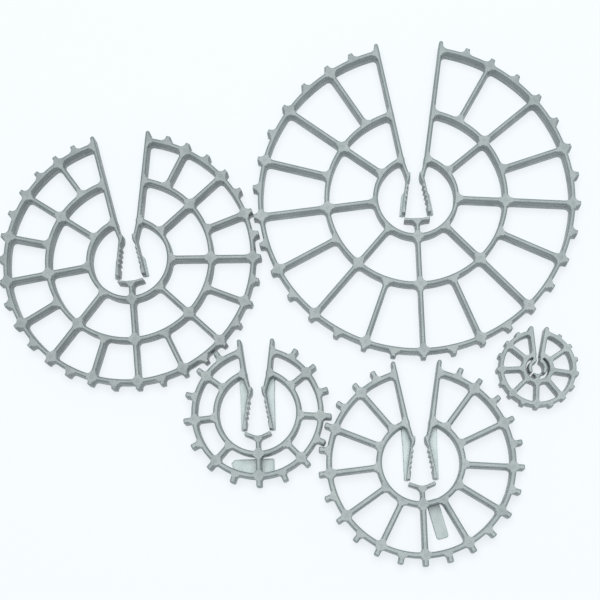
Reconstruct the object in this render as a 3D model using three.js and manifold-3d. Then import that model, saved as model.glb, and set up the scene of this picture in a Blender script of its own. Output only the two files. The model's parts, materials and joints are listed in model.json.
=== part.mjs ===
// A graded set of five moulded wheel spacers for reinforcing bars, lying flat with their rims in mesh.
// Units are millimetres and +Z is up. Each wheel is laid out about its own centre, with its foot
// spoke along -Y and its bar slot open towards +Y, then turned and moved to its place in the set.

import * as THREE from "three";
import { mergeVertices } from "three/addons/utils/BufferGeometryUtils.js";
import Module from "manifold-3d";

const wasm = await Module();
wasm.setup();

const HEIGHT = 10.5; // axial height of every wheel
const GAP = 0.3; // clearance left between neighbouring solids
const ARC_STEP = 9.5; // longest straight step along a ring
const TOOTH_BASE = 3.0;
const TOOTH_TIP = 2.0;
const LEG_TIP = 1.0; // how far the slot walls stand past the tooth circle
const LEG_TIP_WIDTH = 2.2;
const TAG_HEIGHT = 2.0; // thickness of the blank size tags

// rim, middle and hub are wall centreline radii; tooth is how far a tip stands past the rim
// centreline; pitch is the angle between spokes; mouth is the half angle of the slot at the rim;
// webTop is the height, above the wheel's centre, where the web behind a clamp arm starts;
// seatRise is how far the ends of the bar seat stand above its middle.
const SIZES = [
  { name: "extra_large", at: [70.1, 55.2], turn: 2.1, rim: 85.9, middle: 49.2, hub: 22.3,
    wall: 2.5, tooth: 4.3, spokes: 15, pitch: 21.24, mouth: 11.8, clamp: "arms", webTop: 3,
    seatRise: 0.7 },
  { name: "large", at: [-87.7, 20.6], turn: 5.6, rim: 68.2, middle: 45.1, hub: 22.3,
    wall: 2.7, tooth: 4.4, spokes: 15, pitch: 21.25, mouth: 12.6, clamp: "arms", webTop: 3,
    seatRise: 0.7 },
  { name: "medium", at: [71.2, -90.6], turn: 2.1, rim: 49.0, middle: 0, hub: 22.3,
    wall: 2.8, tooth: 5.8, spokes: 11, pitch: 28.3, mouth: 13.6, clamp: "arms", webTop: 19,
    seatRise: 2.2 },
  { name: "small", at: [-16.3, -64.1], turn: 2.0, rim: 34.1, middle: 0, hub: 22.3,
    wall: 2.6, tooth: 5.8, spokes: 7, pitch: 42.4, mouth: 14.1, clamp: "arms", webTop: 19,
    seatRise: 2.2 },
  { name: "mini", at: [134.2, -40.3], turn: -3.2, rim: 19.4, middle: 0, hub: 7.4,
    wall: 2.4, tooth: 2.5, spokes: 7, pitch: 42.3, mouth: 11.4, clamp: "hooks",
    seatRise: 0.3 },
];

// Sprung arms in the hub of the four larger wheels, on the +X side of the slot.
const ARMS = {
  rootX: 6.9, rootDrop: 0.2, kneeX: 3.9, kneeY: 11.0, nib: 0.5, nibRise: 2.0,
  endX: 7.2, endY: -9.0, thick: 2.2,
  webHeight: 4.0, webDrop: 1.1, webTopX: 9.6, webPartX: 8.4, webSlope: 1.5,
  webEndX: 9.2, webEndY: -8.4,
};
const GRIPS = { count: 5, start: 3.2, pitch: 2.76, ramp: 2.2, depth: 0.6 };
const ARMS_SEAT = { top: -12.8, flat: 3.0, half: 7.0, thick: 1.9, post: 2.4 };

// Curved hooks in the hub of the smallest wheel; angles are from +Y.
const HOOKS = { rootX: 2.1, radius: 4.1, thick: 1.5, start: 24, end: 118, steps: 8 };
const HOOKS_SEAT = { top: -3.7, flat: 1.1, half: 1.9, thick: 1.2, post: 1.9 };

// Blank size tags, thin plates low in the cells beside the foot spoke of two of the wheels.
const SMALL_TAG = {
  left: -14.6, right: 8.8, top: -24.4, bottom: -31.0, bevelX: 2.0, bevelY: 1.5, footX: 5.0,
};
const MEDIUM_TAG = { inner: 22.8, outer: 41.5, angle: 13.2, width: 6.2 };

const radians = THREE.MathUtils.degToRad;
const plastic = { roughness: 0.5, metalness: 0 };

// A point at an angle in degrees from the foot spoke, anticlockwise, and a radius.
function polar(angle, radius) {
  return new THREE.Vector2(radius * Math.sin(radians(angle)), -radius * Math.cos(radians(angle)));
}

function prism(points, bottom, top) {
  const geometry = new THREE.ExtrudeGeometry(new THREE.Shape(points), {
    depth: top - bottom, bevelEnabled: false, steps: 1,
  });
  geometry.translate(0, 0, bottom);
  geometry.deleteAttribute("normal");
  geometry.deleteAttribute("uv");
  const merged = mergeVertices(geometry, 1e-4);
  return new wasm.Manifold(new wasm.Mesh({
    numProp: 3,
    vertProperties: merged.attributes.position.array,
    triVerts: new Uint32Array(merged.index.array),
  }));
}

function join(solids) {
  return solids.reduce((whole, solid) => whole.add(solid));
}

function toMesh(solid, name, colour) {
  const { vertProperties, triVerts } = solid.getMesh();
  const geometry = new THREE.BufferGeometry();
  geometry.setAttribute("position", new THREE.BufferAttribute(vertProperties, 3));
  geometry.setIndex(new THREE.BufferAttribute(triVerts, 1));
  geometry.computeVertexNormals();
  const material = new THREE.MeshStandardMaterial({ color: colour, ...plastic });
  const mesh = new THREE.Mesh(geometry, material);
  mesh.name = name;
  return mesh;
}

// Length of the straight steps that stand for a ring's arc.
function arcStep(radius) {
  return Math.min(ARC_STEP, radius / 5);
}

// An open ring wall, centred on the foot spoke and reaching halfAngle to each side.
function ringWall(radius, wall, halfAngle) {
  const steps = Math.ceil((2 * radians(halfAngle) * radius) / arcStep(radius));
  const angles = Array.from({ length: steps + 1 }, (_, i) => halfAngle * ((2 * i) / steps - 1));
  const outer = angles.map((angle) => polar(angle, radius + wall / 2));
  const inner = angles.map((angle) => polar(angle, radius - wall / 2)).reverse();
  return prism([...outer, ...inner], 0, HEIGHT);
}

// A straight wall between two points, with its own width at each end.
function straightWall(from, to, widthFrom, widthTo = widthFrom, top = HEIGHT) {
  const along = to.clone().sub(from).normalize();
  const side = new THREE.Vector2(-along.y, along.x);
  const corner = (point, offset) => point.clone().addScaledVector(side, offset);
  return prism([
    corner(from, -widthFrom / 2), corner(to, -widthTo / 2),
    corner(to, widthTo / 2), corner(from, widthFrom / 2),
  ], 0, top);
}

function mirrored(points) {
  return points.map((point) => new THREE.Vector2(-point.x, point.y)).reverse();
}

function onCircle(x, radius) {
  return new THREE.Vector2(x, Math.sqrt(radius * radius - x * x));
}

// Radius at which the parts inside the hub ring stop, clear of the ring's stepped inner face.
function hubFace(size) {
  const halfStep = arcStep(size.hub) / size.hub / 2;
  return (size.hub - size.wall / 2) * Math.cos(halfStep) - GAP;
}

// Where the slot wall on the +X side crosses the hub ring and the rim.
function slotWall(size) {
  const { rootX } = size.clamp === "arms" ? ARMS : HOOKS;
  const hubEnd = onCircle(rootX, size.hub);
  const rimEnd = polar(180 - size.mouth, size.rim);
  const tip = rimEnd.clone().sub(hubEnd).setLength(size.tooth + LEG_TIP).add(rimEnd);
  return { hubEnd, rimEnd, tip };
}

function spokes(size) {
  const walls = [];
  const last = (size.spokes - 1) / 2;
  for (let i = -last; i <= last; i += 1) {
    const reachesHub = size.middle === 0 || i % 2 === 0;
    const from = polar(i * size.pitch, reachesHub ? size.hub : size.middle);
    const to = polar(i * size.pitch, size.rim);
    walls.push(straightWall(from, to, size.wall));
  }
  return walls;
}

// Teeth stand at every spoke and halfway along every rim cell.
function teeth(size) {
  const last = (size.spokes - 1) / 2;
  const angles = [];
  for (let i = -2 * last; i <= 2 * last; i += 1) {
    angles.push((i * size.pitch) / 2);
  }
  const endCell = (last * size.pitch + 180 - size.mouth) / 2;
  angles.push(-endCell, endCell);
  return angles.map((angle) => straightWall(
    polar(angle, size.rim), polar(angle, size.rim + size.tooth), TOOTH_BASE, TOOTH_TIP,
  ));
}

function wheel(size) {
  const { hubEnd, tip } = slotWall(size);
  const hubHalf = 180 - THREE.MathUtils.radToDeg(Math.atan2(hubEnd.x, hubEnd.y));
  const walls = [
    ringWall(size.rim, size.wall, 180 - size.mouth),
    ringWall(size.hub, size.wall, hubHalf),
    ...spokes(size),
    ...teeth(size),
  ];
  for (const side of [-1, 1]) {
    const flip = new THREE.Vector2(side, 1);
    const from = hubEnd.clone().multiply(flip);
    walls.push(straightWall(from, tip.clone().multiply(flip), size.wall, LEG_TIP_WIDTH));
  }
  if (size.middle > 0) {
    const middleHalf = 180 - slotAngleAt(size, size.middle);
    walls.push(ringWall(size.middle, size.wall, middleHalf));
  }
  if (size.name === "small") {
    walls.push(smallTag());
  }
  if (size.name === "medium") {
    walls.push(mediumTag());
  }
  return join(walls);
}

// A plate across both cells beside the foot spoke, its lower corners run into the rim.
function smallTag() {
  const { left, right, top, bottom, bevelX, bevelY, footX } = SMALL_TAG;
  const corners = [
    new THREE.Vector2(left, top),
    new THREE.Vector2(left + bevelX, bottom + bevelY),
    new THREE.Vector2(left + footX, bottom),
    new THREE.Vector2(right, bottom),
    new THREE.Vector2(right, top),
  ];
  return prism(corners, 0, TAG_HEIGHT);
}

// A plate that stands out from the hub ring, midway between the foot spoke and the next.
function mediumTag() {
  const { angle, inner, outer, width } = MEDIUM_TAG;
  return straightWall(polar(angle, inner), polar(angle, outer), width, width, TAG_HEIGHT);
}

// Angle from +Y at which the slot wall's centreline crosses a ring of the given radius.
function slotAngleAt(size, radius) {
  const { hubEnd, rimEnd } = slotWall(size);
  const run = rimEnd.clone().sub(hubEnd);
  const a = run.lengthSq();
  const b = 2 * hubEnd.dot(run);
  const c = hubEnd.lengthSq() - radius * radius;
  const share = (-b + Math.sqrt(b * b - 4 * a * c)) / (2 * a);
  const point = hubEnd.clone().addScaledVector(run, share);
  return THREE.MathUtils.radToDeg(Math.atan2(point.x, point.y));
}

// T-shaped cradle: a cross bar with a flat middle and raised ends, on a post from the hub ring.
function barSeat(size, seat) {
  const under = seat.top - seat.thick;
  const half = [
    new THREE.Vector2(seat.half, seat.top + size.seatRise),
    new THREE.Vector2(seat.flat, seat.top),
  ];
  const outline = [
    new THREE.Vector2(0, under),
    new THREE.Vector2(seat.half, under + size.seatRise),
    ...half,
    ...half.map((point) => new THREE.Vector2(-point.x, point.y)).reverse(),
    new THREE.Vector2(-seat.half, under + size.seatRise),
  ];
  const ringFace = onCircle(seat.post / 2, hubFace(size)).y;
  const postTop = new THREE.Vector2(0, seat.top - seat.thick / 2);
  const postFoot = new THREE.Vector2(0, -ringFace);
  return join([
    prism(outline, 0, HEIGHT),
    straightWall(postTop, postFoot, seat.post),
  ]);
}

// Sprung arm of the +X side: in from the hub ring to the throat, then out and down along the bar,
// with ratchet grips facing the bar and a low stiffening web behind it.
function armJaw(size, place) {
  const face = hubFace(size);
  const half = ARMS.thick / 2;
  const knee = new THREE.Vector2(ARMS.kneeX, ARMS.kneeY);
  const end = new THREE.Vector2(ARMS.endX, ARMS.endY);
  const down = end.clone().sub(knee).normalize();
  const inward = new THREE.Vector2(down.y, -down.x);
  const along = (distance, offset) =>
    knee.clone().addScaledVector(down, distance).addScaledVector(inward, offset);
  const grips = [];
  for (let i = 0; i < GRIPS.count; i += 1) {
    const start = GRIPS.start + i * GRIPS.pitch;
    grips.push(along(start, half - GRIPS.depth), along(start + GRIPS.ramp, half));
  }
  const outline = [
    onCircle(ARMS.rootX - half, face),
    new THREE.Vector2(knee.x - half, knee.y + ARMS.nibRise),
    along(0, half + ARMS.nib),
    ...grips,
    along(knee.distanceTo(end), half),
    along(knee.distanceTo(end), -half),
    along(0, -half),
    onCircle(ARMS.rootX + half, face - ARMS.rootDrop),
  ];
  return join([
    prism(place(outline), 0, HEIGHT),
    prism(place(armWeb(size, knee, end)), 0, ARMS.webHeight),
  ]);
}

// The web fills the space behind the arm, either from the hub ring or only from part way down.
// Below the ring it stops short, so that it stays clear as the arm bends outward.
function armWeb(size, knee, end) {
  const webEnd = new THREE.Vector2(ARMS.webEndX, ARMS.webEndY);
  if (size.webTop > knee.y) {
    const top = hubFace(size) - ARMS.webDrop;
    return [onCircle(ARMS.webTopX, top), onCircle(ARMS.rootX, top), knee, end, webEnd];
  }
  const share = (size.webTop + ARMS.webSlope - knee.y) / (end.y - knee.y);
  const onArm = knee.clone().lerp(end, share);
  return [new THREE.Vector2(ARMS.webPartX, size.webTop), onArm, end, webEnd];
}

// Curved hook of the +X side of the smallest wheel, bent round its bar hole.
function hookJaw(size, place) {
  const face = hubFace(size);
  const half = HOOKS.thick / 2;
  const angles = Array.from({ length: HOOKS.steps + 1 }, (_, i) =>
    180 - HOOKS.start - ((HOOKS.end - HOOKS.start) * i) / HOOKS.steps);
  const outline = [
    onCircle(HOOKS.rootX - half, face),
    ...angles.map((angle) => polar(angle, HOOKS.radius - half)),
    ...angles.map((angle) => polar(angle, HOOKS.radius + half)).reverse(),
    onCircle(HOOKS.rootX + half, face),
  ];
  return prism(place(outline), 0, HEIGHT);
}

function jaw(size, side) {
  const place = (points) => (side === "left" ? mirrored(points) : points);
  return size.clamp === "arms" ? armJaw(size, place) : hookJaw(size, place);
}

const set = new THREE.Group();
for (const size of SIZES) {
  const group = new THREE.Group();
  const seat = size.clamp === "arms" ? ARMS_SEAT : HOOKS_SEAT;
  group.position.set(size.at[0], size.at[1], 0);
  group.rotation.z = radians(size.turn);
  group.add(toMesh(wheel(size), `${size.name}_wheel`, 0xb0b8b5));
  group.add(toMesh(barSeat(size, seat), `${size.name}_bar_seat`, 0xa6aeab));
  group.add(toMesh(jaw(size, "left"), `${size.name}_left_jaw`, 0xbac2bf));
  group.add(toMesh(jaw(size, "right"), `${size.name}_right_jaw`, 0xbac2bf));
  set.add(group);
}

export default set;
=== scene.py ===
"""A graded set of five moulded wheel spacers for reinforcing bars, lying flat on a pale floor.

Outlines are drawn in millimetres in each wheel's own frame: its centre at the origin, its foot
spoke along -Y and its bar slot open towards +Y. Meshes are made in metres, in the row frame.
"""

import json
import math

import bpy
import numpy as np
from mathutils import Matrix, Vector
from mathutils.geometry import delaunay_2d_cdt


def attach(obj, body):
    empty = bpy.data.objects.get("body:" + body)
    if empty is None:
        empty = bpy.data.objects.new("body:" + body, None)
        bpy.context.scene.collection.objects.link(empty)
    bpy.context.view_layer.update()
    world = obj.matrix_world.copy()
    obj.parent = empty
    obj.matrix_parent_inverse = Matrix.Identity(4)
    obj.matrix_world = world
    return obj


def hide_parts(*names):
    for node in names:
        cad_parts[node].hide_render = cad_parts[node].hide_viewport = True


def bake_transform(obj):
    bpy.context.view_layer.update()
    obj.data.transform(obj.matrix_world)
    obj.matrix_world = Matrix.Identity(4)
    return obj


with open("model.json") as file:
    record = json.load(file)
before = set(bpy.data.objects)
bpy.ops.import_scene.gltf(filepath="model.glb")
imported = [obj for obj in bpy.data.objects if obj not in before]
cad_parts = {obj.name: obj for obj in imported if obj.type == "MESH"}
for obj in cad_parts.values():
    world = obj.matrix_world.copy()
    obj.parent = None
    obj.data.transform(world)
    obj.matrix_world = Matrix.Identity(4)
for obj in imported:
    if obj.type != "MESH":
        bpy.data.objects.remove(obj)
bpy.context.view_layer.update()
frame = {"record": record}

MM = 0.001
HEIGHT = 10.5
STEP = 0.2  # spacing of the grid that outlines are traced on
REACH = 3.0  # how far from a wall its distance is worked out
TOLERANCE = 0.012  # how far a simplified outline may stray
DRAFT = 0.14  # how much wider each wall is on each side at its foot
RIDGE = 0.05  # how far the parting line stands proud
RIDGE_HALF = 0.14
RIDGE_CREST = 0.03  # half the width of its flat crest
FOOT_ROUND = 0.12  # rounding of a wall's lower edge
LEAST_ROUND = 0.12  # rounding of a wall's top edge where the wall is too thin for more

# rim, middle and hub are wall centreline radii, and middle is 0 on a wheel without that ring;
# wall is the walls' thickness at the top; tooth is how far a tip stands past the rim centreline,
# tooth_root and tooth_tip are a tooth's half widths; pitch is the angle between spokes; mouth is
# the half angle of the slot at the rim; fillet and tooth_fillet say how softly walls and teeth
# run into each other; top_round is the rounding of the top edges; web is the height, above the
# wheel's centre, where the low web behind a clamp arm starts; shade is how light the wheel's
# plastic is. The mini wheel has hooks and a cup instead of arms and a seat, and no webs.
SIZES = {
    "extra_large": dict(rim=85.9, middle=49.2, hub=22.3, wall=2.5, tooth=4.3, spokes=15,
                        pitch=21.24, mouth=11.8, fillet=2.6, tooth_fillet=2.0,
                        tooth_root=1.55, tooth_tip=1.3, top_round=1.05, web=3.6,
                        seat_rise=0.7, seat_thick=1.4, shade=0.95),
    "large": dict(rim=68.2, middle=45.1, hub=22.3, wall=2.6, tooth=4.4, spokes=15,
                  pitch=21.25, mouth=12.6, fillet=2.4, tooth_fillet=2.0,
                  tooth_root=1.55, tooth_tip=1.3, top_round=1.05, web=2.4,
                  seat_rise=1.1, seat_thick=1.4, shade=0.83),
    "medium": dict(rim=49.0, middle=0, hub=22.3, wall=2.9, tooth=5.8, spokes=11,
                   pitch=28.3, mouth=13.6, fillet=2.2, tooth_fillet=1.6,
                   tooth_root=1.4, tooth_tip=1.45, top_round=1.05, web=22.0,
                   seat_rise=2.2, seat_thick=1.8, shade=0.98),
    "small": dict(rim=34.1, middle=0, hub=22.3, wall=2.85, tooth=5.8, spokes=7,
                  pitch=42.4, mouth=14.1, fillet=2.0, tooth_fillet=1.5,
                  tooth_root=1.4, tooth_tip=1.45, top_round=1.05, web=22.0,
                  seat_rise=2.4, seat_thick=1.8, shade=0.94),
    "mini": dict(rim=19.4, middle=0, hub=7.4, wall=2.25, tooth=2.5, spokes=7,
                 pitch=42.3, mouth=11.4, fillet=1.3, tooth_fillet=0.5,
                 tooth_root=1.3, tooth_tip=1.15, top_round=0.6, web=None, shade=1.02),
}
LEG_TIP = 1.0  # how far a slot wall's end stands past the teeth
LEG_TIP_WIDTH = 2.3
SET_IN = 0.8  # how far past a wall's face the round end of a wall that joins it is centred
MINI_SET_IN = 0.6

MIRRORS = (np.array((-1, 1)), np.array((1, 1)))  # left and right of the slot

# The clamp. root_x is where a slot wall meets the hub ring; an arm runs on from there over its
# knee to its end, and its grips are steps down its inner face; a hook follows an arc from start
# to end, in degrees from +Y; top is the level that the bar rests at; cut is the level where a
# piece is cut off its wheel, and past is an x beyond the wall that is cut.
ARM = dict(root_x=6.9, knee=(3.9, 11.0), end=(7.2, -9.0), thick=2.0, nib=0.2, cut=16.4,
           past=9.5)
GRIPS = dict(count=5, start=3.3, pitch=2.76, depth=0.95, ramp=2.0)
CORNER = 0.12  # rounding of the corners of the grips and the arm's end
SEAT = dict(top=-12.8, heel=1.2, half=7.0, round=0.3, post=2.4, cut=-17.6, past=2.6)
HOOK = dict(root_x=2.1, radius=4.1, thick=1.7, start=24, end=118, cut=4.9, past=3.3)
CUP = dict(top=-3.7, rise=0.9, half=2.4, thick=1.1, post=1.9, cut=-5.45, past=2.6)

WEB_HEIGHT = 4.0
TAG_HEIGHT = 2.0
TAG_BORDER = 0.45  # how far the small tag's border stands above its plate
PLATE_LIFT = 0.02  # how far webs and tags are off the floor
PLATE_ROUND = 0.26  # rounding of their top edges
# The tags' outlines, before their corners are rounded outward
SMALL_TAG = [(-12.8, -25.2), (-14.2, -26.4), (-13.0, -30.0), (-8.4, -31.6), (7.2, -31.6),
             (7.2, -25.2)]
SMALL_TAG_CORNER = 0.8
MEDIUM_TAG = dict(angle=14.0, near=21.8, far=40.0, half=1.7, corner=1.5)

# The section of a pin mark: radius, height above the wall, and its normal outward and upward
PIN_RING = [(0.62, -0.1, -1, 0), (0.66, 0.03, -0.7, 0.7), (0.74, 0.045, 0, 1),
            (0.82, 0.03, 0.7, 0.7), (0.86, -0.1, 1, 0)]

PLASTIC_COLOUR = (0.214, 0.260, 0.264)
ROUGHNESS = 0.34
# How much lighter or darker than its wheel a part is. The thin low plates (webs and tags) are
# painted lighter: painted light in place of the pale floor shining through them.
PART_SHADES_AND_PAINTED_LIGHT = dict(wheel=1.0, seat=0.97, jaw=1.01, web=1.9, small_tag=1.9, medium_tag=1.45)
FLOOR_LOW = (0.17, 0.18, 0.19)
FLOOR_HIGH = (0.18, 0.19, 0.20)
FLOOR_GLOW = (0.70, 0.735, 0.755)
WORLD_COLOUR = (0.93, 0.97, 1.0)
WORLD_STRENGTH = 0.45
LIGHT = dict(place=(0.0, 0.2, 1.45), size=1.3, power=24.5, colour=(1.0, 0.99, 0.97))
CAMERA = dict(place=(0.0339, -0.1589, 0.7989), target=(0.0061, -0.0010, 0.0), roll=0.004,
              lens=88.8)


# ---------------------------------------------------------------- distance fields

class Field:
    """Distance to the nearest wall over a flat grid, negative inside the plastic."""

    def __init__(self, low, high, step=STEP):
        self.low = np.array(low, float)
        self.step = step
        self.x = np.arange(low[0], high[0] + step, step)
        self.y = np.arange(low[1], high[1] + step, step)
        self.d = np.full((len(self.y), len(self.x)), REACH)
        self.slopes = None

    def window(self, low, high):
        """The part of the grid within REACH of a box, as slices and as coordinates."""
        i = np.searchsorted(self.x, (low[0] - REACH, high[0] + REACH))
        j = np.searchsorted(self.y, (low[1] - REACH, high[1] + REACH))
        part = (slice(*j), slice(*i))
        return part, self.x[part[1]][None, :], self.y[part[0]][:, None]

    def add(self, shape, soft):
        """Joins a shape on, with a fillet about as large as soft in the corners it makes."""
        low, high, distance = shape
        part, x, y = self.window(low, high)
        new, old = distance(x, y), self.d[part]
        share = np.maximum(soft - np.abs(old - new), 0) / soft
        self.d[part] = np.minimum(old, new) - share * share * soft / 4

    def carve(self, shape):
        low, high, distance = shape
        part, x, y = self.window(low, high)
        self.d[part] = np.maximum(self.d[part], -distance(x, y))

    def sample(self, points):
        """Distance and its gradient at some points, between the grid's own."""
        if self.slopes is None:
            across, along = np.gradient(self.d, self.step)
            self.slopes = (self.d, along, across)
        u = (points - self.low) / self.step
        i = np.clip(np.floor(u).astype(int), 0, (len(self.x) - 2, len(self.y) - 2))
        f = u - i
        weights = ((1 - f[:, 0]) * (1 - f[:, 1]), f[:, 0] * (1 - f[:, 1]),
                   (1 - f[:, 0]) * f[:, 1], f[:, 0] * f[:, 1])
        corners = ((0, 0), (1, 0), (0, 1), (1, 1))
        values = [
            sum(w * grid[i[:, 1] + b, i[:, 0] + a] for w, (a, b) in zip(weights, corners))
            for grid in self.slopes
        ]
        return values[0], np.stack(values[1:], 1)

    def outward(self, points):
        """The level direction, of length 1, in which the distance grows at some points."""
        slope = self.sample(points)[1]
        return slope / np.maximum(np.hypot(*slope.T), 1e-6)[:, None]


def polar(angle, radius):
    """A point at an angle in degrees from the foot spoke, anticlockwise, and a radius."""
    a = math.radians(angle)
    return np.array((radius * math.sin(a), -radius * math.cos(a)))


def bar(a, b, half_a, half_b=None):
    """A straight wall with round ends, its half width given at each end."""
    a, b = np.array(a, float), np.array(b, float)
    half_b = half_a if half_b is None else half_b
    run = b - a

    def distance(x, y):
        px, py = x - a[0], y - a[1]
        t = np.clip((px * run[0] + py * run[1]) / (run @ run), 0, 1)
        return np.hypot(px - t * run[0], py - t * run[1]) - (half_a + (half_b - half_a) * t)

    half = max(half_a, half_b)
    return np.minimum(a, b) - half, np.maximum(a, b) + half, distance


def ring(radius, half_wall, half_angle):
    """A ring wall, centred on the foot spoke and reaching half_angle degrees to each side."""
    end = polar(half_angle, radius)

    def distance(x, y):
        beyond = np.abs(np.arctan2(x, -y)) > math.radians(half_angle)
        open_end = np.hypot(np.abs(x) - end[0], y - end[1])
        return np.where(beyond, open_end, np.abs(np.hypot(x, y) - radius)) - half_wall

    reach = radius + half_wall
    return np.array((-reach, -reach)), np.array((reach, reach)), distance


def polygon(points, rounding=0.0):
    """A flat polygon, its corners rounded outward by a radius."""
    points = np.array(points, float)

    def distance(x, y):
        x, y = np.broadcast_arrays(x, y)
        nearest = np.full(x.shape, 1e9)
        inside = np.zeros(x.shape, bool)
        for a, b in zip(points, np.roll(points, -1, 0)):
            run = b - a
            px, py = x - a[0], y - a[1]
            t = np.clip((px * run[0] + py * run[1]) / (run @ run), 0, 1)
            nearest = np.minimum(nearest, np.hypot(px - t * run[0], py - t * run[1]))
            crosses = (a[1] > y) != (b[1] > y)
            level = run[1] if abs(run[1]) > 1e-12 else 1e-12
            inside ^= crosses & (x < a[0] + (y - a[1]) * run[0] / level)
        return np.where(inside, -nearest, nearest) - rounding

    return points.min(0) - rounding, points.max(0) + rounding, distance


# ---------------------------------------------------------------- outlines

def trace(field):
    """The closed outlines where the distance is zero, plastic on their left."""
    d = field.d
    inside = d < 0
    rows, columns = d.shape
    code = (inside[:-1, :-1] * 1 + inside[:-1, 1:] * 2 + inside[1:, 1:] * 4
            + inside[1:, :-1] * 8)
    j, i = np.nonzero((code > 0) & (code < 15))
    code = code[j, i]
    upright = rows * columns
    edges = {"s": j * columns + i, "n": (j + 1) * columns + i,
             "w": upright + j * columns + i, "e": upright + j * columns + i + 1}
    turns = {1: ("sw",), 2: ("es",), 3: ("ew",), 4: ("ne",), 5: ("sw", "ne"), 6: ("ns",),
             7: ("nw",), 8: ("wn",), 9: ("sn",), 10: ("es", "wn"), 11: ("en",), 12: ("we",),
             13: ("se",), 14: ("ws",)}
    following = {}
    for value, pairs in turns.items():
        here = code == value
        for start, stop in pairs:
            following.update(zip(edges[start][here].tolist(), edges[stop][here].tolist()))

    loops = []
    while following:
        first, step = following.popitem()
        chain = [first]
        while step != first:
            chain.append(step)
            step = following.pop(step)
        loops.append(crossings(field, np.array(chain), upright))
    return loops


def crossings(field, chain, upright):
    """Where the outline crosses each grid edge of a chain."""
    d, columns = field.d, field.d.shape[1]
    vertical = chain >= upright
    cell = np.where(vertical, chain - upright, chain)
    j, i = cell // columns, cell % columns
    a = d[j, i]
    b = d[np.where(vertical, j + 1, j), np.where(vertical, i, i + 1)]
    t = a / (a - b)
    x = field.low[0] + (i + np.where(vertical, 0, t)) * field.step
    y = field.low[1] + (j + np.where(vertical, t, 0)) * field.step
    return np.stack((x, y), 1)


def simplify(loop, tolerance=TOLERANCE):
    """Drops the points of a closed outline that lie on the line between their neighbours."""
    far = int(np.argmax(np.hypot(*(loop - loop[0]).T)))
    closed = np.vstack((loop, loop[:1]))
    keep = np.zeros(len(closed), bool)
    keep[[0, far, -1]] = True
    spans = [(0, far), (far, len(closed) - 1)]
    while spans:
        a, b = spans.pop()
        if b - a < 2:
            continue
        run = closed[b] - closed[a]
        offset = closed[a + 1:b] - closed[a]
        length = max(np.hypot(*run), 1e-9)
        off = np.abs(offset[:, 0] * run[1] - offset[:, 1] * run[0]) / length
        worst = int(np.argmax(off))
        if off[worst] > tolerance:
            middle = a + 1 + worst
            keep[middle] = True
            spans += [(a, middle), (middle, b)]
    return loop[keep[:-1]]


def outlines(field):
    """A field's outlines with only the points they need."""
    return [loop for loop in map(simplify, trace(field)) if len(loop) > 5]


def cut(loop, y, low_x, high_x):
    """Cuts an outline in two along a level line between two x values: the long part, then the
    short one. Both keep the two points of the cut."""
    after = np.roll(loop, -1, 0)
    t = (y - loop[:, 1]) / np.where(after[:, 1] == loop[:, 1], 1e-12, after[:, 1] - loop[:, 1])
    x = loop[:, 0] + t * (after[:, 0] - loop[:, 0])
    hits = np.nonzero(((loop[:, 1] > y) != (after[:, 1] > y)) & (x > low_x) & (x < high_x))[0]
    if len(hits) != 2:
        raise ValueError(f"a cut at y {y} meets the outline {len(hits)} times")
    i, j = hits
    p, q = np.array([(x[i], y)]), np.array([(x[j], y)])
    between = np.vstack((p, loop[i + 1:j + 1], q))
    around = np.vstack((q, loop[j + 1:], loop[:i + 1], p))
    return (around, between) if len(around) > len(between) else (between, around)


# ---------------------------------------------------------------- meshes

def profile(height, rounding, ridge):
    """Rows of a wall's side: (inset, height, tilt of its normal above level in degrees). The
    rounding of the top edge, and so its rows, may differ from point to point."""
    rows = [(FOOT_ROUND - DRAFT, 0, -90), (FOOT_ROUND * 0.3 - DRAFT, FOOT_ROUND * 0.3, -45),
            (-DRAFT, FOOT_ROUND, 0)]
    if ridge:
        middle, lean = height / 2, -DRAFT / 2
        crest = lean - RIDGE
        rows += [(lean, middle - RIDGE_HALF, -8), (crest, middle - RIDGE_CREST, -20),
                 (crest, middle + RIDGE_CREST, 20), (lean, middle + RIDGE_HALF, 8)]
    for angle in (0, 22, 45, 68, 90):
        a = math.radians(angle)
        rows.append((rounding * (1 - math.cos(a)), height - rounding * (1 - math.sin(a)), angle))
    return rows


def room(field, outline, most):
    """How large a rounding of the top edge each outline point has room for, up to a most."""
    slope = field.outward(outline)
    rounding = np.full(len(outline), LEAST_ROUND)
    growing = np.ones(len(outline), bool)
    for depth in np.linspace(0.2, most / 0.9, 8):
        growing &= field.sample(outline - slope * depth)[0] < -0.9 * depth
        rounding[growing] = depth * 0.9
    return np.minimum(rounding, most)


def inset(field, points, depth, level_ends):
    """Moves outline points in until they are a given depth inside the wall. The level ends, which
    are on a cut, stay level with it."""
    moved = points.copy()
    for _ in range(5):
        distance, slope = field.sample(moved)
        size = np.maximum((slope ** 2).sum(1), 0.25)
        short = distance + depth
        short = np.where(level_ends & (distance < -depth), 0, short)
        shift = slope * (short / size)[:, None]
        moved -= np.clip(shift, -0.3, 0.3)
        moved[level_ends, 1] = points[level_ends, 1]
    return moved


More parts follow.
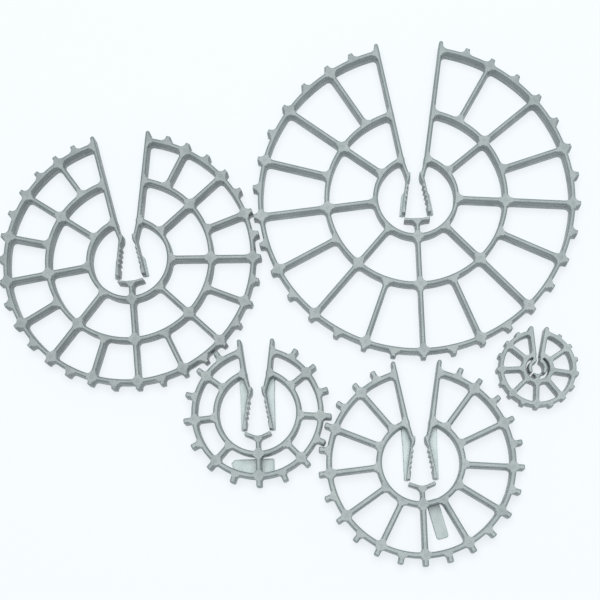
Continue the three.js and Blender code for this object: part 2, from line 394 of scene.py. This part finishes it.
def solid(field, loops, height, top_round, bottom=0.0, ridge=True, levels=()):
    """Vertices, faces and vertex normals of a wall that stands on some closed outlines, of
    which the cuts at some levels stay straight."""
    outline = np.vstack(loops)
    rows = profile(height, room(field, outline, top_round), ridge)
    on_cut = np.zeros(len(outline), bool)
    for level in levels:
        on_cut |= np.abs(outline[:, 1] - level) < 1e-9
    count = len(outline)
    after = np.arange(1, count + 1)
    start = 0
    for loop in loops:
        after[start + len(loop) - 1] = start
        start += len(loop)

    vertices, normals, rings = [], [], []
    for depth, z, tilt in rows:
        flat = inset(field, outline, depth, on_cut)
        slope = field.outward(flat)
        t = math.radians(tilt)
        rings.append(flat)
        vertices.append(np.column_stack((flat, np.full(count, bottom) + z)))
        normals.append(np.column_stack((slope * math.cos(t), np.full(count, math.sin(t)))))
    vertices, normals = np.vstack(vertices), np.vstack(normals)

    here = np.arange(count)
    sides = [
        np.column_stack((here + k * count, after + k * count, after + (k + 1) * count,
                         here + (k + 1) * count))
        for k in range(len(rows) - 1)
    ]
    faces = np.vstack(sides).tolist()
    pairs = np.column_stack((here, after)).tolist()
    for flat, base, up in ((rings[-1], (len(rows) - 1) * count, True), (rings[0], 0, False)):
        cap, extra = fill(flat, pairs)
        shift = len(vertices)
        if len(extra):
            z = vertices[base, 2]
            vertices = np.vstack((vertices, np.column_stack((extra, np.full(len(extra), z)))))
            normals = np.vstack((normals, np.tile((0, 0, 1.0 if up else -1.0), (len(extra), 1))))
        for corners in cap:
            face = [base + c if c < count else shift + c - count for c in corners]
            faces.append(face if up else face[::-1])
    return vertices, faces, normals


def fill(points, pairs):
    """Triangles inside closed outlines, their holes left open, and any points that adds."""
    result = delaunay_2d_cdt([Vector(p) for p in points], pairs, [], 1, 1e-7)
    spots, _, triangles, origins = result[:4]
    number, extra = [], []
    for spot, origin in zip(spots, origins):
        if origin:
            number.append(origin[0])
        else:
            number.append(len(points) + len(extra))
            extra.append((spot.x, spot.y))
    spots = np.array([tuple(spot) for spot in spots])
    middles = spots[np.array(triangles)].mean(1)
    kept = enclosed(middles, points, np.array(pairs))
    faces = []
    for triangle, keep in zip(triangles, kept):
        corners = [number[c] for c in triangle]
        if keep and len(set(corners)) == 3:
            faces.append(corners)
    return faces, extra


def enclosed(spots, points, pairs, batch=400):
    """Which spots lie inside closed outlines, by how often a level line from each crosses them."""
    a, b = points[pairs[:, 0]], points[pairs[:, 1]]
    rise = np.where(a[:, 1] == b[:, 1], 1e-12, b[:, 1] - a[:, 1])
    kept = np.zeros(len(spots), bool)
    for start in range(0, len(spots), batch):
        x, y = spots[start:start + batch, :1], spots[start:start + batch, 1:]
        crosses = (a[:, 1] > y) != (b[:, 1] > y)
        left = x < a[:, 0] + (y - a[:, 1]) / rise * (b[:, 0] - a[:, 0])
        kept[start:start + batch] = (crosses & left).sum(1) % 2 == 1
    return kept


class Builder:
    """Gathers solids in one wheel's own frame and turns them into a mesh in the row frame."""

    def __init__(self, place):
        self.place = place
        self.vertices, self.faces, self.normals, self.finishes = [], [], [], []
        self.count = 0

    def add(self, vertices, faces, normals, finish=0):
        """Takes in a solid, its finish being a place in the list of materials."""
        self.vertices.append(vertices)
        self.normals.append(normals)
        self.faces += [[c + self.count for c in face] for face in faces]
        self.finishes += [finish] * len(faces)
        self.count += len(vertices)

    def build(self, name, *materials):
        centre, turn = self.place
        c, s = math.cos(turn), math.sin(turn)
        spin = np.array(((c, s, 0), (-s, c, 0), (0, 0, 1)))
        vertices = (np.vstack(self.vertices) @ spin) * MM + np.array((centre[0], centre[1], 0))
        normals = np.vstack(self.normals) @ spin
        mesh = bpy.data.meshes.new(name)
        mesh.from_pydata(vertices.tolist(), [], self.faces)
        mesh.polygons.foreach_set("use_smooth", [True] * len(mesh.polygons))
        mesh.update()
        mesh.normals_split_custom_set_from_vertices(normals.tolist())
        for material in materials:
            mesh.materials.append(material)
        mesh.polygons.foreach_set("material_index", self.finishes)
        piece = bpy.data.objects.new(name, mesh)
        bpy.context.scene.collection.objects.link(piece)
        return piece


# ---------------------------------------------------------------- the wheel

def slot_wall(size, root_x):
    """Where the slot wall on the +X side crosses the hub ring and the rim, and its tip."""
    hub_end = np.array((root_x, math.sqrt(size["hub"] ** 2 - root_x ** 2)))
    rim_end = polar(180 - size["mouth"], size["rim"])
    run = rim_end - hub_end
    tip = rim_end + run / np.hypot(*run) * (size["tooth"] + LEG_TIP - LEG_TIP_WIDTH / 2)
    return hub_end, rim_end, tip


def slot_angle(radius, hub_end, rim_end):
    """Angle from +Y at which the slot wall crosses a ring of the given radius."""
    run = rim_end - hub_end
    a, b, c = run @ run, 2 * hub_end @ run, hub_end @ hub_end - radius ** 2
    point = hub_end + run * (-b + math.sqrt(b * b - 4 * a * c)) / (2 * a)
    return math.degrees(math.atan2(point[0], point[1]))


def wheel_field(size):
    """The whole of a wheel's moulding, as one field."""
    mini = size["web"] is None
    reach = size["rim"] + size["tooth"] + LEG_TIP + 2
    field = Field((-reach, -reach), (reach, reach), 0.1 if mini else STEP)
    half, soft, hub = size["wall"] / 2, size["fillet"], size["hub"]
    root_x = (HOOK if mini else ARM)["root_x"]
    hub_end, rim_end, tip = slot_wall(size, root_x)
    last = (size["spokes"] - 1) // 2
    set_in = half + (MINI_SET_IN if mini else SET_IN)

    def short_of(angle, radius):
        return angle - math.degrees(set_in / radius)

    angles = [i * size["pitch"] / 2 for i in range(-2 * last, 2 * last + 1)]
    end_cell = (last * size["pitch"] + 180 - size["mouth"]) / 2
    field.add(ring(size["rim"], half, short_of(180 - size["mouth"], size["rim"])), soft)
    for angle in angles + [-end_cell, end_cell]:
        add_tooth(field, size, angle, half)
    field.add(ring(hub, half, short_of(180 - math.degrees(math.atan2(*hub_end)), hub)), soft)
    if size["middle"]:
        end = 180 - slot_angle(size["middle"], hub_end, rim_end)
        field.add(ring(size["middle"], half, short_of(end, size["middle"])), soft)
    for i in range(-last, last + 1):
        inner = size["middle"] if size["middle"] and i % 2 else hub
        field.add(bar(polar(i * size["pitch"], inner + set_in),
                      polar(i * size["pitch"], size["rim"] - set_in), half), soft)
    for flip in MIRRORS:
        field.add(bar(hub_end * flip, tip * flip, half, LEG_TIP_WIDTH / 2), soft)
    if mini:
        add_hooks(field, hub_end)
        add_cup(field, size)
    else:
        add_arms(field, size, hub_end)
        add_seat(field, size)
    return field


def add_tooth(field, size, angle, half):
    """A peg with a softly squared end, run into the rim."""
    out = polar(angle, 1)
    across = np.array((-out[1], out[0]))
    root, tip = size["rim"] + half * 0.5, size["rim"] + size["tooth"]
    corner = 0.75 if size["tooth"] > 5 else 0.5
    outline = [out * root - across * (size["tooth_root"] - corner),
               out * root + across * (size["tooth_root"] - corner),
               out * (tip - corner) + across * (size["tooth_tip"] - corner),
               out * (tip - corner) - across * (size["tooth_tip"] - corner)]
    field.add(polygon(outline, corner), size["tooth_fillet"])


def add_arms(field, size, hub_end):
    """The sprung arms, with the throat nib at the knee and the grips below it."""
    half = ARM["thick"] / 2
    knee, end = np.array(ARM["knee"]), np.array(ARM["end"])
    length = np.hypot(*(end - knee))
    run = (end - knee) / length
    inward = np.array((run[1], -run[0]))

    def along(distance, offset):
        """A point a distance down the arm from its knee, and offset towards the bar."""
        return knee + run * distance + inward * offset

    inner, outer = half - CORNER, CORNER - half
    nib = inner + ARM["nib"]
    face = [along(-2.6, inner - 0.1), along(-0.7, nib), along(0.9, nib)]
    for i in range(GRIPS["count"]):
        start = GRIPS["start"] + i * GRIPS["pitch"]
        face += [along(start, inner - GRIPS["depth"]), along(start + GRIPS["ramp"], inner)]
    outline = face + [along(length - CORNER, inner), along(length - CORNER, outer),
                      along(-2.6, outer)]
    for flip in MIRRORS:
        field.add(bar(hub_end * flip, knee * flip, size["wall"] / 2 - 0.05, half), 1.2)
        field.add(polygon([point * flip for point in outline], CORNER), 0.5)


def add_seat(field, size):
    """The two wings of the seat, which rise a little outward, and its post."""
    under, corner = size["seat_thick"] / 2, SEAT["round"]
    level = SEAT["top"] - under
    heel = np.array((SEAT["heel"], level))
    tip = np.array((SEAT["half"] - corner, level + size["seat_rise"]))
    run = (tip - heel) / np.hypot(*(tip - heel))
    across = np.array((-run[1], run[0])) * (under - corner)
    wing = [heel - across, tip - across, tip + across, heel + across]
    for flip in MIRRORS:
        field.add(polygon([point * flip for point in wing], corner), 0.6)
    foot = -(size["hub"] - size["wall"] / 2 - SET_IN)
    field.add(bar((0, level - 0.6), (0, foot), SEAT["post"] / 2), 1.8)


def add_hooks(field, root):
    """The mini wheel's curved hooks, as chains of short walls."""
    angles = np.linspace(180 - HOOK["start"], 180 - HOOK["end"], 14)
    path = [root] + [polar(angle, HOOK["radius"]) for angle in angles]
    for flip in MIRRORS:
        for a, b in zip(path, path[1:]):
            field.add(bar(a * flip, b * flip, HOOK["thick"] / 2), 0.35)


def add_cup(field, size):
    """The mini wheel's cup under the bar, and its post."""
    under = CUP["thick"] / 2
    level = CUP["top"] - under
    tip = np.array((CUP["half"] - under, level + CUP["rise"]))
    for flip in MIRRORS:
        field.add(bar((0, level), tip * flip, under), 0.5)
    field.add(bar((0, level - 0.3), (0, 0.6 - size["hub"]), CUP["post"] / 2), 0.8)


def split_outline(field, mini):
    """The wheel's outline and holes, and the outlines of the jaws and the seat, cut off it."""
    loops = outlines(field)
    outer = max(loops, key=lambda loop: np.ptp(loop[:, 0]))
    holes = [loop for loop in loops if loop is not outer]
    jaw, seat = (HOOK, CUP) if mini else (ARM, SEAT)
    outer, left = cut(outer, jaw["cut"], -jaw["past"], 0)
    outer, right = cut(outer, jaw["cut"], 0, jaw["past"])
    outer, cradle = cut(outer, seat["cut"], -seat["past"], seat["past"])
    return [outer] + holes, left, right, cradle


def plate(shape, height, step=0.15, hollow=None, top_round=PLATE_ROUND):
    """A low plate of one shape, or with a hollow cut through it, on a small grid of its own."""
    low, high = shape[0] - 1.5, shape[1] + 1.5
    field = Field(low, high, step)
    field.add(shape, 0.5)
    if hollow:
        field.carve(hollow)
    return solid(field, outlines(field), height, top_round, bottom=PLATE_LIFT, ridge=False)


def web_solid(size, side):
    """The low web behind an arm, from the hub ring or from part way down."""
    knee, end = np.array(ARM["knee"]), np.array(ARM["end"])
    if size["web"] > knee[1]:
        points = [(9.5, 20.2), (6.9, 20.9), knee, end + (0.2, -0.1), end + (1.7, 0.2),
                  (8.9, 10.0)]
    else:
        down = (size["web"] - knee[1]) / (end[1] - knee[1])
        on_arm = knee + (end - knee) * down
        points = [on_arm + (0.2, 1.2), end + (0.2, -0.1), end + (1.8, 0.2),
                  on_arm + (2.4, -1.6)]
    return plate(polygon([np.array(p) * (side, 1) for p in points], 0.25), WEB_HEIGHT)


def small_tag():
    """The small wheel's blank size tag: a low plate, then its raised border."""
    outline = polygon(SMALL_TAG, SMALL_TAG_CORNER)
    yield plate(outline, TAG_HEIGHT - TAG_BORDER)
    yield plate(outline, TAG_HEIGHT, step=0.1, hollow=polygon(SMALL_TAG, 0.2), top_round=0.2)


def medium_tag():
    """The medium wheel's blank size tag, a plain low plate."""
    angle, half = MEDIUM_TAG["angle"], MEDIUM_TAG["half"]
    near, far = polar(angle, MEDIUM_TAG["near"]), polar(angle, MEDIUM_TAG["far"])
    across = half * polar(angle + 90, 1)
    corners = [near - across, far - across, far + across, near + across]
    yield plate(polygon(corners, MEDIUM_TAG["corner"]), TAG_HEIGHT)


TAGS = {"small": small_tag, "medium": medium_tag}


def crossing_spots(size):
    """Where the spokes cross the rim and the rings."""
    last = (size["spokes"] - 1) // 2
    spots = []
    for i in range(-last, last + 1):
        angle = i * size["pitch"]
        spots.append(polar(angle, size["rim"]))
        if size["middle"] and i % 2 == 0:
            spots.append(polar(angle, size["middle"]))
        if not size["middle"] or i % 2 == 0:
            spots.append(polar(angle, size["hub"]))
    return spots


def pin_mark(spot):
    """The faint ring that an ejector pin leaves on top of a wall."""
    vertices, normals, faces = [], [], []
    rows, count = len(PIN_RING), 20
    for row, (radius, rise, out, up) in enumerate(PIN_RING):
        below, above = row * count, ((row + 1) % rows) * count
        for k in range(count):
            a = 2 * math.pi * k / count
            ray = np.array((math.cos(a), math.sin(a)))
            vertices.append((*(spot + ray * radius), HEIGHT + rise))
            normals.append((*(ray * out), up))
            after = (k + 1) % count
            faces.append([below + k, above + k, above + after, below + after])
    return np.array(vertices), faces, np.array(normals)


# ---------------------------------------------------------------- materials

def new_material(name):
    """A node material: it, its nodes, its links and its shader."""
    material = bpy.data.materials.new(name)
    material.use_nodes = True
    tree = material.node_tree
    return material, tree.nodes, tree.links, tree.nodes["Principled BSDF"]


def plastic(name, colour, seed):
    """Satin moulded plastic: faint mottling and flow lines, a fine moulded grain, dull scuffs."""
    material, nodes, links, shader = new_material(name)
    shader.inputs["IOR"].default_value = 1.49
    shader.inputs["Specular IOR Level"].default_value = 0.5

    place = nodes.new("ShaderNodeTexCoord")
    shift = nodes.new("ShaderNodeMapping")
    shift.inputs["Location"].default_value = (seed, seed * 0.7, seed * 0.3)
    links.new(place.outputs["Object"], shift.inputs["Vector"])

    def noise(scale, detail, rough):
        node = nodes.new("ShaderNodeTexNoise")
        node.inputs["Scale"].default_value = scale
        node.inputs["Detail"].default_value = detail
        node.inputs["Roughness"].default_value = rough
        links.new(shift.outputs["Vector"], node.inputs["Vector"])
        return node.outputs["Fac"]

    def ramp(value, low, high, first, second):
        node = nodes.new("ShaderNodeValToRGB")
        node.color_ramp.elements[0].position = low
        node.color_ramp.elements[1].position = high
        node.color_ramp.elements[0].color = first
        node.color_ramp.elements[1].color = second
        links.new(value, node.inputs["Fac"])
        return node.outputs["Color"]

    def multiply(share, first, second):
        node = nodes.new("ShaderNodeMix")
        node.data_type = "RGBA"
        node.blend_type = "MULTIPLY"
        node.inputs["Factor"].default_value = share
        links.new(first, node.inputs[6])
        links.new(second, node.inputs[7])
        return node.outputs[2]

    def bump(value, strength, distance):
        node = nodes.new("ShaderNodeBump")
        node.inputs["Strength"].default_value = strength
        node.inputs["Distance"].default_value = distance
        links.new(value, node.inputs["Height"])
        return node

    red, green, blue = colour
    dark = (red * 0.9, green * 0.9, blue * 0.91, 1)
    light = (red * 1.08, green * 1.08, blue * 1.07, 1)
    white = (1, 1, 1, 1)
    clouds = ramp(noise(38, 3, 0.55), 0.3, 0.72, dark, light)
    streaks = ramp(noise(210, 2, 0.5), 0.35, 0.7, (0.93, 0.93, 0.93, 1), white)
    specks = ramp(noise(1500, 1, 0.4), 0.27, 0.36, (0.78, 0.78, 0.76, 1), white)
    links.new(multiply(0.8, multiply(0.7, clouds, streaks), specks),
              shader.inputs["Base Color"])

    scuffs = ramp(noise(95, 5, 0.65), 0.42, 0.68, (ROUGHNESS - 0.07,) * 3 + (1,),
                  (ROUGHNESS + 0.12,) * 3 + (1,))
    links.new(scuffs, shader.inputs["Roughness"])

    grain = bump(noise(2600, 3, 0.6), 0.22, 0.00006)
    waves = bump(noise(130, 1, 0.4), 0.35, 0.00025)
    links.new(grain.outputs["Normal"], waves.inputs["Normal"])
    links.new(waves.outputs["Normal"], shader.inputs["Normal"])
    return material


def paper():
    """The floor: plain, pale and very faintly mottled. Most of its brightness is a glow of its
    own, so that the shadows on it stay faint."""
    material, nodes, links, shader = new_material("pale_floor")
    shader.inputs["Roughness"].default_value = 0.9
    shader.inputs["Specular IOR Level"].default_value = 0.1
    shader.inputs["Emission Color"].default_value = (*FLOOR_GLOW, 1)
    shader.inputs["Emission Strength"].default_value = 1
    noise = nodes.new("ShaderNodeTexNoise")
    noise.inputs["Scale"].default_value = 6
    ramp = nodes.new("ShaderNodeValToRGB")
    ramp.color_ramp.elements[0].color = (*FLOOR_LOW, 1)
    ramp.color_ramp.elements[1].color = (*FLOOR_HIGH, 1)
    links.new(noise.outputs["Fac"], ramp.inputs["Fac"])
    links.new(ramp.outputs["Color"], shader.inputs["Base Color"])
    return material


def finish(name, part):
    """The plastic of one part of a wheel; each wheel is of its own batch, a little apart.
    The webs and tags are painted lighter, as painted light from the floor shining through them.
    """
    shade = PART_SHADES_AND_PAINTED_LIGHT[f"{name}_tag" if part == "tag" else part] * SIZES[name]["shade"]
    seed = 1.3 + 3.1 * list(SIZES).index(name) + 0.7 * len(part)
    colour = [shade * value for value in PLASTIC_COLOUR]
    return plastic(f"{name}_{part}_plastic", colour, seed)


# ---------------------------------------------------------------- the set

mounts = {mount["name"]: mount for mount in frame["record"]["mounts"]}


def wheel_place(name):
    """Centre in metres and turn in radians, from where the record says the bar rests."""
    mount = mounts[f"{name}_bar_rest"]
    up = np.array(mount["axis"][:2], float)
    depth = -(CUP if name == "mini" else SEAT)["top"] * MM
    centre = np.array(mount["pos_m"][:2]) + up * depth
    return centre, math.atan2(-up[0], up[1])


def make_wheel(name, size):
    """One wheel's four pieces: the wheel, its seat and its two jaws."""
    place = wheel_place(name)
    mini = size["web"] is None
    jaw, seat = (HOOK, CUP) if mini else (ARM, SEAT)
    field = wheel_field(size)
    walls, left, right, cradle = split_outline(field, mini)

    def moulding(loops):
        part = Builder(place)
        part.add(*solid(field, loops, HEIGHT, size["top_round"],
                        levels=(jaw["cut"], seat["cut"])))
        return part

    wheel = moulding(walls)
    finishes = [finish(name, "wheel")]
    if name in TAGS:
        for part in TAGS[name]():
            wheel.add(*part, finish=1)
        finishes.append(finish(name, "tag"))
    for spot in crossing_spots(size):
        wheel.add(*pin_mark(spot))
    piece = wheel.build(f"{name}_wheel_moulding", *finishes)
    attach(piece, f"{name}_wheel")
    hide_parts(f"{name}_wheel")

    piece = moulding([cradle]).build(f"{name}_bar_seat_moulding", finish(name, "seat"))
    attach(piece, f"{name}_wheel")
    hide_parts(f"{name}_bar_seat")

    finishes = [finish(name, "jaw")]
    if not mini:
        finishes.append(finish(name, "web"))
    for side, label, outline in ((-1, "left", left), (1, "right", right)):
        part = moulding([outline])
        if not mini:
            part.add(*web_solid(size, side), finish=1)
        piece = part.build(f"{name}_{label}_jaw_moulding", *finishes)
        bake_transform(piece)
        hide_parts(f"{name}_{label}_jaw")


for wheel_name, wheel_size in SIZES.items():
    make_wheel(wheel_name, wheel_size)


# ---------------------------------------------------------------- floor, light and camera

def add_floor():
    half, drop = 6.0, 0.0001
    corners = [(-half, -half, 0), (half, -half, 0), (half, half, 0), (-half, half, 0)]
    mesh = bpy.data.meshes.new("floor")
    mesh.from_pydata(corners, [], [(0, 1, 2, 3)])
    mesh.materials.append(paper())
    floor = bpy.data.objects.new("floor", mesh)
    bpy.context.scene.collection.objects.link(floor)
    floor.location.z = -drop


def add_world():
    world = bpy.data.worlds.new("studio")
    world.use_nodes = True
    background = world.node_tree.nodes["Background"]
    background.inputs["Color"].default_value = (*WORLD_COLOUR, 1)
    background.inputs["Strength"].default_value = WORLD_STRENGTH
    bpy.context.scene.world = world


def add_light():
    """One large soft lamp over the set."""
    lamp = bpy.data.lights.new("overhead", "AREA")
    lamp.shape = "DISK"
    lamp.size = LIGHT["size"]
    lamp.energy = LIGHT["power"]
    lamp.color = LIGHT["colour"]
    light = bpy.data.objects.new("overhead", lamp)
    bpy.context.scene.collection.objects.link(light)
    light.location = LIGHT["place"]
    light.rotation_euler = (-light.location).to_track_quat("-Z", "Y").to_euler()


def add_camera():
    """The camera, with the row's +Y upward in its view, then rolled a little."""
    lens = bpy.data.cameras.new("camera")
    lens.sensor_width = 36
    lens.lens = CAMERA["lens"]
    camera = bpy.data.objects.new("camera", lens)
    bpy.context.scene.collection.objects.link(camera)
    back = (Vector(CAMERA["place"]) - Vector(CAMERA["target"])).normalized()
    right = Vector((0, 1, 0)).cross(back).normalized()
    camera.location = CAMERA["place"]
    camera.rotation_euler = Matrix((right, back.cross(right), back)).transposed().to_euler()
    camera.rotation_euler.rotate_axis("Z", CAMERA["roll"])
    bpy.context.scene.camera = camera


add_floor()
add_world()
add_light()
add_camera()
bpy.context.scene.view_settings.view_transform = "Standard"
